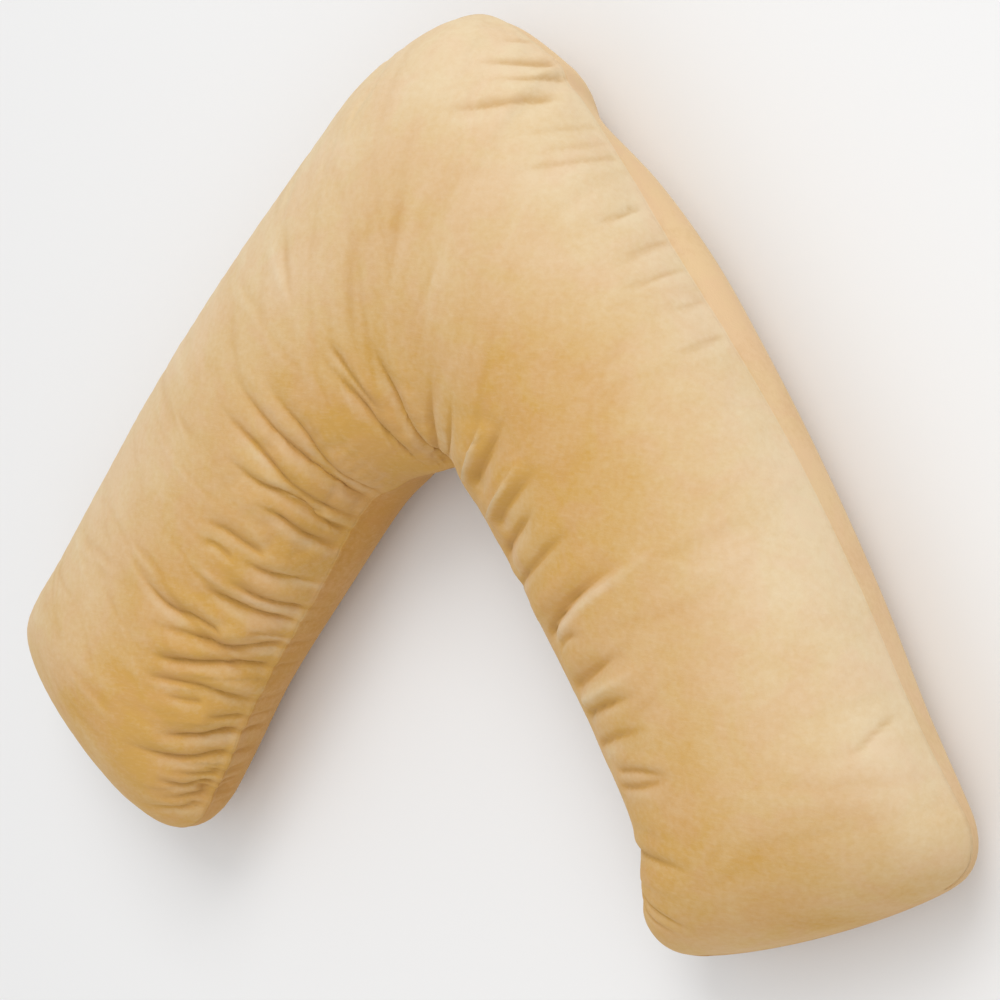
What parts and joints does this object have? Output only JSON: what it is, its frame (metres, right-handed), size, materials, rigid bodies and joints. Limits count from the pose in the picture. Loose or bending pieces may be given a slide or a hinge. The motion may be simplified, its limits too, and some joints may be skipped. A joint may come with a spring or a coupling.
{
  "type": "v shaped support pillow",
  "caption": "V shaped support pillow in sand brushed velour, filled and crowned, with puckered folds where the seam turns at its crotch.",
  "frame": {"origin": "centre of the bounding box, on the surface that the back panel lies on", "axes": "+Z out of the front panel, +Y towards the point of the V, +X towards the end of the right arm"},
  "size_m": [0.9618, 0.7242, 0.173],
  "materials": {
    "brushed_velour": "brushed short pile, matt, with a soft pale sheen where it turns away"
  },
  "bodies": {
    "root": {"v_pillow": "brushed_velour"}
  },
  "joints": []
}
